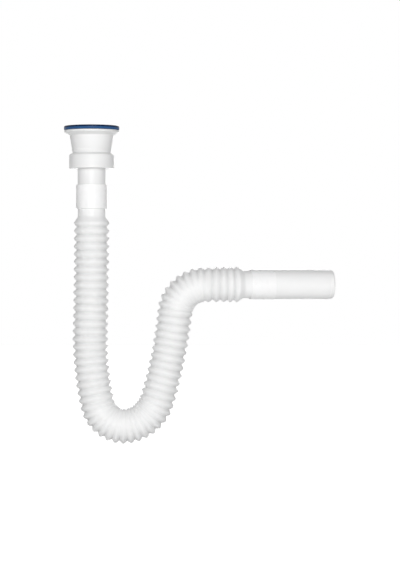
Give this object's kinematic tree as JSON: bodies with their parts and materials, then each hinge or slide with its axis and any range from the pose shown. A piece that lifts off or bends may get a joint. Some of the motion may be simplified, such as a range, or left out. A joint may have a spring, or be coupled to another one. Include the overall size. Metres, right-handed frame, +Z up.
{
  "type": "flexible sink trap",
  "caption": "Flexible sink trap: gasketed waste cup, union nut, corrugated hose bent into a water seal, plain outlet spigot.",
  "frame": {"origin": "on the inlet axis, in the plane of the gasket's top face, which seals under the sink", "axes": "+Z up along the inlet axis, out of the cup's mouth; +X toward the outlet; +Y to the back, away from the side seen in the picture"},
  "size_m": [0.3129, 0.0712, 0.3654],
  "materials": {
    "white_plastic": "satin moulded polypropylene",
    "hose_plastic": "satin moulded polypropylene",
    "blue_rubber": "satin rubber",
    "black_rubber": "matte rubber",
    "brass": "turned"
  },
  "bodies": {
    "inlet": {"waste_body": "white_plastic", "rim_gasket": "blue_rubber", "screw_insert": "brass"},
    "nut_carrier": {"slip_ring": "white_plastic"},
    "nut": {"union_nut": "white_plastic"},
    "hose": {"inlet_pipe": "white_plastic", "cone_seal": "black_rubber", "joint_sleeve": "white_plastic", "corrugated_hose": "hose_plastic"},
    "outlet": {"outlet_spigot": "white_plastic"}
  },
  "joints": [
    {"name": "nut_travel", "type": "slide", "parent": "inlet", "child": "nut_carrier", "axis": [0, 0, -1], "range_m": [0, 0.01154]},
    {"name": "nut_spin", "type": "hinge", "parent": "nut_carrier", "child": "nut", "pos_m": [0, 0, -0.04], "axis": [0, 0, -1], "range_deg": [0, 1800]},
    {"name": "trap_swivel", "type": "hinge", "parent": "inlet", "child": "hose", "pos_m": [0, 0, -0.0441], "axis": [0, 0, 1], "continuous": true},
    {"name": "outlet_flex", "type": "hinge", "parent": "hose", "child": "outlet", "pos_m": [0.10695, 0, -0.19098], "axis": [0, -1, 0], "range_deg": [-25, 25], "deforming": ["corrugated_hose"]}
  ],
  "couplings": [
    {"joint": "nut_travel", "follows": "nut_spin", "m_per_rad": 0.00036749}
  ]
}
